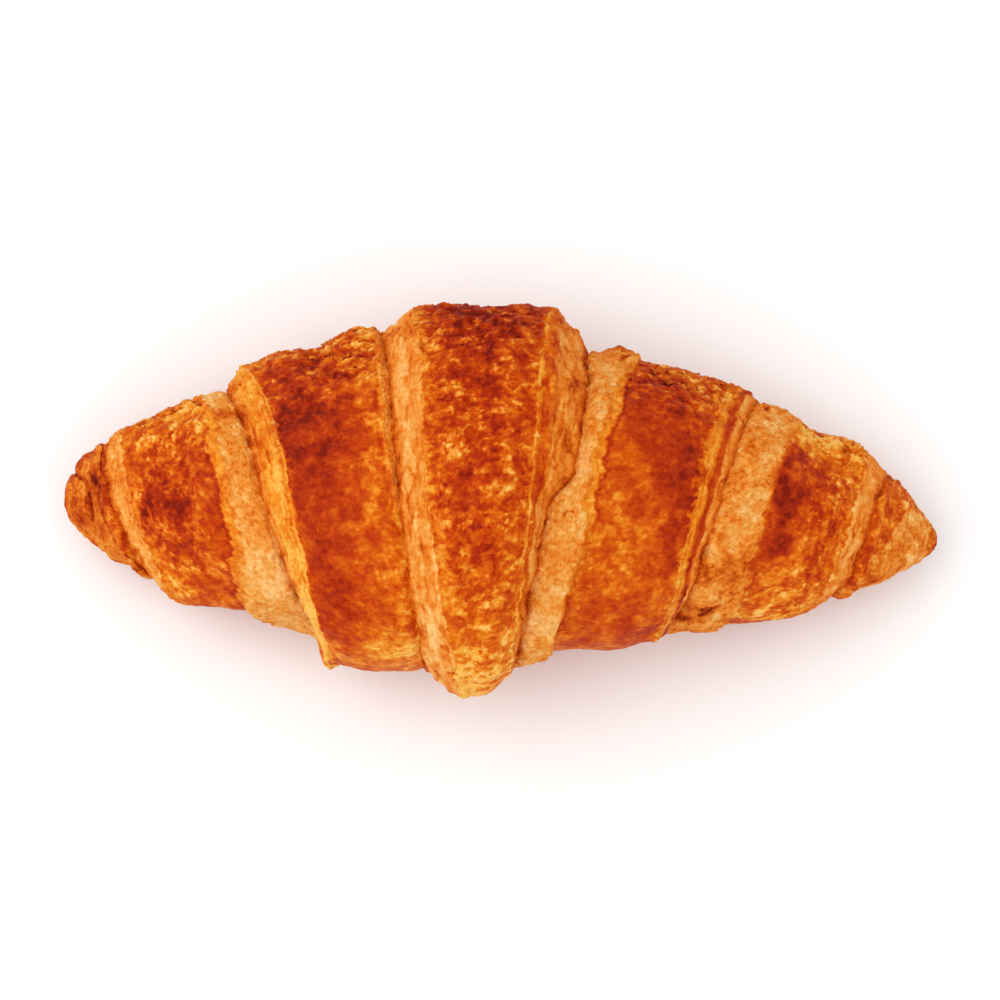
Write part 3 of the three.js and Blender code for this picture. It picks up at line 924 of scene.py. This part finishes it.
def mesh_object(name, points, faces, attributes):
    mesh = bpy.data.meshes.new(name)
    mesh.vertices.add(len(points))
    mesh.vertices.foreach_set("co", np.ascontiguousarray(points, np.float32).ravel())
    mesh.loops.add(faces.size)
    mesh.loops.foreach_set("vertex_index", faces.astype(np.int32).ravel())
    mesh.polygons.add(len(faces))
    sides = faces.shape[1]
    mesh.polygons.foreach_set("loop_start", np.arange(0, faces.size, sides, dtype=np.int32))
    mesh.polygons.foreach_set("use_smooth", np.ones(len(faces), dtype=bool))
    for label, values in attributes.items():
        layer = mesh.attributes.new(label, "FLOAT", "POINT")
        layer.data.foreach_set("value", np.ascontiguousarray(values, np.float32).ravel())
    mesh.update(calc_edges=True)
    mesh.validate()
    thing = bpy.data.objects.new(name, mesh)
    bpy.context.scene.collection.objects.link(thing)
    return thing


INNER_COLUMNS = 6
ATTRIBUTES = ("bake_and_painted_light", "glaze", "gloss")
INSIDE_VALUE = 0.4
CORE_SHARE = 0.12
LEAST_CORE = 0.25


def closed_shell(points, inner_points):
    """Faces of a closed tube whose rows are an outer line and then an inner line back, with capped ends."""
    rows, outer = points.shape[:2]
    inner = inner_points.shape[1]
    ring = outer + inner
    everything = np.concatenate([points, inner_points], axis=1).reshape(-1, 3)
    i = np.arange(rows - 1)[:, None] * ring
    j = np.arange(ring)[None, :]
    following = (j + 1) % ring
    faces = np.stack([i + j, i + following, i + ring + following, i + ring + j], axis=-1).reshape(-1, 4)
    return everything, faces, ring, rows


def cap(base, ring, flip):
    """Quads that close the ring of one end, from its two ends towards the middle."""
    quads = []
    low, high = 0, ring - 1
    while high - low >= 3:
        quad = [base + low, base + low + 1, base + high - 1, base + high]
        quads.append(quad[::-1] if flip else quad)
        low += 1
        high -= 1
    return np.array(quads)


def build_band(name, winding, x, radius, marks, solid_core=False):
    points = finish_band(winding, x, radius, marks)
    outer = x.shape[1]
    picks = np.linspace(outer - 1, 0, INNER_COLUMNS).round().astype(int)
    w = np.broadcast_to(winding[:, None], (len(winding), INNER_COLUMNS))
    if solid_core:
        inner = place(x[:, picks], np.maximum(LEAST_CORE, radius[:, picks] * CORE_SHARE), w)
    else:
        inner = place(x[:, picks], radius[:, picks] - SHELL, w)
    vertices, faces, ring, rows = closed_shell(points, inner)
    caps = [cap(0, ring, False), cap((rows - 1) * ring, ring, True)]
    faces = np.concatenate([faces] + caps)
    attributes = {}
    for label in ATTRIBUTES:
        inside = np.full((len(winding), INNER_COLUMNS), INSIDE_VALUE)
        attributes[label] = np.concatenate([marks[label], inside], axis=1).reshape(-1)
    return name, vertices, faces, attributes


def windings(start, stop, fine, coarse):
    """Angles from start to stop, fine where the crust shows from above and coarse underneath."""
    angles = [start]
    while angles[-1] < stop - 1e-6:
        turn = angles[-1] % TURN
        hidden = smooth((abs(turn - UNDERNEATH) * -1 + 62) / 20)
        angles.append(angles[-1] + mix(fine, coarse, float(hidden)))
    angles = np.array(angles)
    return start + (angles - start) * (stop - start) / (angles[-1] - start)


# Steps between the rows of a band, in degrees, and the count of columns in each zone.
WIDE_STEP = 0.62
NARROW_STEP = 0.85
HIDDEN_STEP = 2.0
WIDE_COLUMNS = [(TUCK, 4), (SHOULDER, 44), (GLAZE, 96), (EDGE, 40), (UNDER, 4)]
NARROW_COLUMNS = [(TUCK, 3), (SHOULDER, 40), (GLAZE, 64), (EDGE, 28), (UNDER, 3)]


def all_bands():
    bands = []
    turns = windings(TIP_ANGLE, UNDERNEATH, WIDE_STEP, HIDDEN_STEP)
    left = [(-UNDER, 4), (-EDGE, 40), (-GLAZE, 52)]
    right = [(GLAZE, 52), (EDGE, 40), (UNDER, 4)]
    zones_l, places_l = columns(left)
    zones_r, places_r = columns(right)
    zones = np.concatenate([zones_l[:-1], zones_r])
    places = np.concatenate([1 - places_l[:-1], places_r])
    x, radius, marks = tongue_band(turns, zones, places)
    bands.append(build_band("band_middle", turns, x, radius, marks))
    for side, word in ((LEFT, "left"), (RIGHT, "right")):
        for turn, fine, layout in ((1, WIDE_STEP, WIDE_COLUMNS), (2, NARROW_STEP, NARROW_COLUMNS)):
            start = UNDERNEATH + TURN * (turn - 1)
            turns = windings(start, start + TURN, fine, HIDDEN_STEP)
            zones, places = columns(layout)
            x, radius, marks = side_band(side, turns, zones, places, (word, turn))
            bands.append(build_band(f"band_{word}_{turn}", turns, x, radius, marks))
        bands.append(end_piece(side, word))
    return bands


END_COLUMNS = 40
END_STEP = 1.6
END_HIDDEN_STEP = 3.0
CAP_RADIUS = 0.02
# Each end starts with a glazed strip, and beyond a seam it is duller: how far the seam lies from the
# crevice, in millimetres, at angles round the roll, how dull the end is, and how deep the seam is, which also
# sets its painted shade.
END_SEAMS = {
    "left": ([0, 20, 35, 55, 80, 100, 130, 360], [0.6, 1.0, 2.9, 3.3, 2.5, 1.2, 0.8, 0.8]),
    "right": ([0, 25, 45, 70, 100, 140, 180, 360], [0.8, 1.4, 2.7, 4.8, 5.9, 6.0, 3.0, 3.0]),
}
END_DULL = 0.75
END_TONE = {"left": 0.42, "right": 0.28}
SEAM_DEPTH = {"left": 0.5, "right": 0.1}
LOBE_SEAM = 0.4
TIP_FROM = 76
TIP_DARKER = 0.16

# Where along the length, in millimetres, and how far round, in degrees, the end closes underneath.
CLOSED_FROM = 74.5
CLOSING_LENGTH = 1.5
CLOSING_SPREAD = 60


def close_underneath(along_x, radius, w):
    """The last turn's radius, brought together under the roll where the turn starts and ends."""
    start = np.interp(along_x, along_x[0], radius[0])
    stop = np.interp(along_x, along_x[-1], radius[-1])
    common = mix(start, 0.5 * (start + stop), smooth((along_x - CLOSED_FROM) / CLOSING_LENGTH))
    away = np.abs(angle_from(UNDERNEATH, w))
    return mix(radius, common, smooth(1 - away / CLOSING_SPREAD) * (along_x > CLOSED_FROM - CLOSING_LENGTH))


def end_piece(side, word):
    """The last turn of one side, with the rounded end of the roll."""
    start = UNDERNEATH + TURN * 2
    turns = windings(start, start + TURN, END_STEP, END_HIDDEN_STEP)
    zones, places = columns([(TUCK, 3), (SHOULDER, 14), (GLAZE, 46)])
    w = turns[:, None]
    x, radius, _, _ = shoulder_and_glaze(side, w, zones[None, :], places[None, :])
    rx, rr = rim(side, w)
    t = np.linspace(0, 1, END_COLUMNS + 1)[None, 1:]
    cap_x = mix(rx, side["sign"] * HALF_LENGTH, t)
    cap_r = rr * mix(1, side["tip_share"], t)
    cap_r[:, -1:] = CAP_RADIUS
    x = np.concatenate([x, cap_x], axis=1)
    radius = np.concatenate([radius, np.broadcast_to(cap_r, cap_x.shape)], axis=1)
    radius = close_underneath(np.abs(x), radius, w)
    marks = blank(x.shape)
    foot_x, _ = foot(side, w - TURN)
    from_foot = np.abs(x - foot_x)
    seam = np.interp(w % TURN, *END_SEAMS[word]) + 0.25 * along(w, 9, 8)
    beyond = smooth((from_foot - seam) / 0.5 + 0.5)
    marks["dull"] += beyond * END_DULL
    marks["tone"] += END_TONE[word] + TIP_DARKER * smooth((np.abs(x) - TIP_FROM) / 3)
    # Painted shade in the crevice where the end comes out, and along the seam's groove.
    marks["crevice"] += bump((from_foot - 0.1) / 0.5)
    marks["seam"] += bump((from_foot - seam) / 0.3) * SEAM_DEPTH[word]
    if side is LEFT:
        # The lobe's crevice gets the same groove and painted shade.
        lobe = per_eighth(LOBE_X, w) + 0.5 * LOBE_SLOPE
        marks["seam"] += LOBE_SEAM * bump((-x - lobe) / 0.35) * smooth((w % TURN - 25) / 20)
    marks["mottle"] += 1
    return build_band(f"end_{word}", turns, x, radius, marks, solid_core=True)


# Loose flakes: thin torn sheets that lift off the rims and off the back of the crust.
FLAKE_SEED = 5
FLAKE_COLUMNS = 9
FLAKE_THICKNESS = 0.12
RIM_FLAKES = 18
RIM_FLAKE_LENGTH = 1.2
RIM_FLAKE_BAKED = 0.34
BACK_FLAKES = 46
BACK_FLAKE_LENGTH = 1.9
BACK_FLAKE_BAKED = 0.6
FLAKE_GLAZE = 0.7
FLAKE_GLOSS = 0.6

# A small step along the length, in millimetres, or round the roll, in degrees.
SMALL_STEP = 0.2


def surface_frame(x, radius, winding):
    """A point of the crust, and its unit directions along x, along the winding, and outwards."""
    here = place(np.array(x), np.array(radius), np.array(winding))
    along_x = place(np.array(x + SMALL_STEP), np.array(radius), np.array(winding)) - here
    along_w = place(np.array(x), np.array(radius), np.array(winding + SMALL_STEP)) - here
    along_x /= np.linalg.norm(along_x)
    along_w /= np.linalg.norm(along_w)
    out = np.cross(along_x, along_w)
    out /= np.linalg.norm(out)
    if out @ (here - np.array([x, 0.0, INSIDE_HEIGHT])) < 0:
        out = -out
    return here, along_x, along_w, out


def one_flake(here, grow, wide, out, length, width, lift, draw):
    """A ragged sheet that grows from a point, as two closed sides: its points and quads."""
    n = FLAKE_COLUMNS
    u, v = np.meshgrid(np.linspace(-1, 1, n), np.linspace(0, 1, n), indexing="ij")
    ragged = 1 - 0.55 * np.abs(u) ** 2.2 + 0.22 * np.sin(5.3 * u + draw.uniform(0, 6)) + 0.1 * np.sin(13 * u)
    reach = length * v * ragged
    narrow = width * 0.5 * u * (1 - 0.3 * v)
    up = lift * length * v**1.6 - 0.3 * (1 - v) + 0.12 * width * (u**2 - 0.4) * v
    up = up + 0.05 * np.sin(7 * u + 4 * v)
    top = here + reach[..., None] * grow + narrow[..., None] * wide + up[..., None] * out
    below = top - (FLAKE_THICKNESS * (1 - 0.5 * v))[..., None] * out
    points = np.concatenate([top.reshape(-1, 3), below.reshape(-1, 3)])
    grid = np.arange(n * n).reshape(n, n)
    quads = np.stack([grid[:-1, :-1], grid[1:, :-1], grid[1:, 1:], grid[:-1, 1:]], axis=-1).reshape(-1, 4)
    border = np.concatenate([grid[:-1, 0], grid[-1, :-1], grid[:0:-1, -1], grid[0, :0:-1]])
    following = np.roll(border, -1)
    walls = np.stack([border, border + n * n, following + n * n, following], axis=-1)
    quads = np.concatenate([quads, quads[:, ::-1] + n * n, walls])
    if np.cross(grow, wide) @ out < 0:
        quads = quads[:, ::-1]
    shade = np.concatenate([v.reshape(-1)] * 2)
    return points, quads, shade


def flake_sites(draw):
    """Where the flakes sit: side, x, radius, winding, length, width, lift, twist and how far baked."""
    sites = []
    for side in (LEFT, RIGHT):
        for turn, most in ((0, RIM_FLAKES), (1, RIM_FLAKES), (2, RIM_FLAKES // 2)):
            for _ in range(most):
                winding = draw.uniform(8, 200) + TURN * turn
                x, radius = rim(side, winding)
                size = draw.uniform(0.5, 1.0)
                length, width = RIM_FLAKE_LENGTH * size, draw.uniform(1.2, 2.8) * size
                lift, twist = draw.uniform(-0.15, 0.2), draw.uniform(-25, 25)
                start = float(x) - side["sign"] * 0.4
                site = (side, start, float(radius), winding, length, width, lift, twist, RIM_FLAKE_BAKED)
                sites.append(site)
        for _ in range(BACK_FLAKES):
            turn = draw.choice([1, 1, 1, 2])
            winding = draw.uniform(128, 200) + TURN * turn
            zone, share = np.array([GLAZE]), np.array([draw.uniform(0.1, 0.95)])
            x, radius, _, _ = shoulder_and_glaze(side, np.array([winding]), zone, share)
            size = draw.uniform(0.5, 1.0)
            length, width = BACK_FLAKE_LENGTH * size, draw.uniform(1.4, 3) * size
            lift, twist = draw.uniform(0.02, 0.2), draw.uniform(40, 140) * draw.choice([-1, 1])
            start, radius = float(x[0]), float(radius[0])
            sites.append((side, start, radius, winding, length, width, lift, twist, BACK_FLAKE_BAKED))
    return sites


def flakes():
    draw = np.random.default_rng(FLAKE_SEED)
    points, quads, bake_and_painted_light, glaze = [], [], [], []
    count = 0
    for side, x, radius, winding, length, width, lift, twist, darkness in flake_sites(draw):
        here, along_x, along_w, out = surface_frame(x, radius, winding)
        twist = math.radians(twist)
        grow = side["sign"] * math.cos(twist) * along_x + math.sin(twist) * along_w
        wide = -side["sign"] * math.sin(twist) * along_x + math.cos(twist) * along_w
        p, q, shade = one_flake(here, grow, wide, out, length, width, lift, draw)
        points.append(p)
        quads.append(q + count)
        count += len(p)
        bake_and_painted_light.append(darkness + draw.uniform(-0.12, 0.12) - 0.2 * shade)
        glaze.append(np.full(len(p), FLAKE_GLAZE))
    return points, quads, bake_and_painted_light, glaze


def flake_piece():
    points, quads, bake_and_painted_light, glaze = flakes()
    glaze = np.concatenate(glaze)
    attributes = {"bake_and_painted_light": np.concatenate(bake_and_painted_light), "glaze": glaze, "gloss": glaze * FLAKE_GLOSS}
    return "flakes", np.concatenate(points), np.concatenate(quads), attributes


# Scales of the material's fine noise, in cells to the metre, its roughness, and the grain's height in metres.
MOTTLE_SCALE = 900
FLECK_SCALE = 1700
GRAIN_SCALE = 2600
DOUGH_ROUGHNESS = 0.72
GLAZE_ROUGHNESS = 0.4
SPECULAR = 0.12
GRAIN_STRENGTH = 0.5
GRAIN_HEIGHT = 0.0004


def crust_material():
    material = bpy.data.materials.new("crust")
    material.use_nodes = True
    tree = material.node_tree
    nodes, links = tree.nodes, tree.links
    nodes.clear()
    out = nodes.new("ShaderNodeOutputMaterial")
    shader = nodes.new("ShaderNodeBsdfPrincipled")
    links.new(shader.outputs["BSDF"], out.inputs["Surface"])
    place_node = nodes.new("ShaderNodeTexCoord")

    def attribute(label):
        node = nodes.new("ShaderNodeAttribute")
        node.attribute_name = label
        return node.outputs["Fac"]

    def math_node(operation, a, b=None, clamp=False):
        node = nodes.new("ShaderNodeMath")
        node.operation = operation
        node.use_clamp = clamp
        for socket, value in zip(node.inputs, (a, b)):
            if value is None:
                continue
            if isinstance(value, (int, float)):
                socket.default_value = value
            else:
                links.new(value, socket)
        return node.outputs[0]

    def noise(scale, detail, rough, stretch=(1, 1, 1)):
        mapping = nodes.new("ShaderNodeMapping")
        mapping.inputs["Scale"].default_value = stretch
        links.new(place_node.outputs["Object"], mapping.inputs["Vector"])
        node = nodes.new("ShaderNodeTexNoise")
        node.inputs["Scale"].default_value = scale
        node.inputs["Detail"].default_value = detail
        node.inputs["Roughness"].default_value = rough
        links.new(mapping.outputs["Vector"], node.inputs["Vector"])
        return node.outputs["Fac"]

    def ramp(value, stops):
        node = nodes.new("ShaderNodeValToRGB")
        elements = node.color_ramp.elements
        while len(elements) < len(stops):
            elements.new(0.5)
        for element, (at, colour) in zip(elements, stops):
            element.position = at
            element.color = (*linear(colour), 1)
        links.new(value, node.inputs["Fac"])
        return node.outputs["Color"]

    # Darkness from baking, with painted shade and painted highlight in it.
    bake_and_painted_light = attribute("bake_and_painted_light")
    glaze = attribute("glaze")
    gloss = attribute("gloss")
    mottle = noise(MOTTLE_SCALE, 4, 0.65, (0.8, 1, 1))
    fleck = noise(FLECK_SCALE, 3, 0.6, (0.7, 1, 1))
    spots = math_node("MULTIPLY", math_node("SUBTRACT", mottle, 0.5), 0.5)
    flecks = math_node("MULTIPLY", math_node("SUBTRACT", fleck, 0.5), 0.45)
    calm = math_node("SUBTRACT", 1.35, math_node("MULTIPLY", gloss, 0.45))
    fine = math_node("MULTIPLY", math_node("ADD", spots, flecks), calm)
    glazed = math_node("ADD", bake_and_painted_light, fine, clamp=True)
    matte = math_node("ADD", bake_and_painted_light, math_node("MULTIPLY", fine, 0.7), clamp=True)
    glazed_colour = ramp(glazed, GLAZED_COLOURS)
    matte_colour = ramp(matte, MATTE_COLOURS)
    blend = nodes.new("ShaderNodeMix")
    blend.data_type = "RGBA"
    links.new(glaze, blend.inputs["Factor"])
    links.new(matte_colour, blend.inputs["A"])
    links.new(glazed_colour, blend.inputs["B"])
    links.new(blend.outputs["Result"], shader.inputs["Base Color"])
    rough = nodes.new("ShaderNodeMapRange")
    rough.inputs["To Min"].default_value = DOUGH_ROUGHNESS
    rough.inputs["To Max"].default_value = GLAZE_ROUGHNESS
    links.new(gloss, rough.inputs["Value"])
    links.new(rough.outputs["Result"], shader.inputs["Roughness"])
    shader.inputs["Specular IOR Level"].default_value = SPECULAR
    bump_node = nodes.new("ShaderNodeBump")
    bump_node.inputs["Strength"].default_value = GRAIN_STRENGTH
    bump_node.inputs["Distance"].default_value = GRAIN_HEIGHT
    links.new(noise(GRAIN_SCALE, 3, 0.6), bump_node.inputs["Height"])
    links.new(bump_node.outputs["Normal"], shader.inputs["Normal"])
    return material


def linear(colour):
    """Linear RGB from an sRGB colour of 0 to 255."""
    values = np.array(colour, float) / 255
    return tuple(np.where(values <= 0.04045, values / 12.92, ((values + 0.055) / 1.055) ** 2.4))


GLAZED_COLOURS = [
    (0.0, (243, 186, 88)),
    (0.2, (231, 144, 36)),
    (0.42, (210, 98, 4)),
    (0.65, (186, 63, 2)),
    (0.88, (157, 41, 3)),
    (1.0, (128, 29, 5)),
]
MATTE_COLOURS = [
    (0.0, (244, 194, 126)),
    (0.2, (234, 163, 80)),
    (0.4, (226, 132, 42)),
    (0.6, (204, 98, 20)),
    (0.8, (166, 62, 12)),
    (1.0, (112, 34, 10)),
]


def build_croissant():
    material = crust_material()
    bands = all_bands() + [flake_piece()]
    low = min(float(v[:, 1].min()) for _, v, _, _ in bands)
    high = max(float(v[:, 1].max()) for _, v, _, _ in bands)
    shift = np.array([0, -(low + high) / 2, 0])
    for name, vertices, faces, attributes in bands:
        vertices = vertices + shift
        vertices[:, 2] = np.maximum(vertices[:, 2], 0)
        piece = mesh_object(name, vertices * MM, faces, attributes)
        piece.data.materials.append(material)
        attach(piece, "root")
        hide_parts("croissant")


build_croissant()


FLOOR_SIZE = 6
FLOOR_COLOUR = (0.94, 0.94, 0.94, 1)
FLOOR_ROUGHNESS = 0.9


def make_stage():
    bpy.ops.mesh.primitive_plane_add(size=FLOOR_SIZE)
    floor = bpy.context.object
    floor.name = "floor"
    material = bpy.data.materials.new("floor")
    material.use_nodes = True
    shader = material.node_tree.nodes["Principled BSDF"]
    shader.inputs["Base Color"].default_value = FLOOR_COLOUR
    shader.inputs["Roughness"].default_value = FLOOR_ROUGHNESS
    floor.data.materials.append(material)


# The lights face this place. Each has a place, a size in metres and a power in watts.
LIT_PLACE = Vector((0, 0, 0.02))
SKY = 0.74
KEY = ((-0.5, 0.0, 0.65), 0.9, 2.4)
FILL = ((0.5, -0.3, 0.5), 0.6, 0.6)


def make_light(name, where, size, power):
    data = bpy.data.lights.new(name, "AREA")
    data.energy = power
    data.size = size
    light = bpy.data.objects.new(name, data)
    light.location = where
    direction = LIT_PLACE - Vector(where)
    light.rotation_mode = "QUATERNION"
    light.rotation_quaternion = direction.to_track_quat("-Z", "Y")
    bpy.context.scene.collection.objects.link(light)


def make_lights():
    world = bpy.data.worlds.new("studio")
    world.use_nodes = True
    background = world.node_tree.nodes["Background"]
    background.inputs["Color"].default_value = (1, 1, 1, 1)
    background.inputs["Strength"].default_value = SKY
    bpy.context.scene.world = world
    make_light("key", *KEY)
    make_light("fill", *FILL)
    bpy.context.scene.view_settings.view_transform = "Standard"
    bpy.context.scene.view_settings.look = "Medium High Contrast"


make_stage()
make_lights()
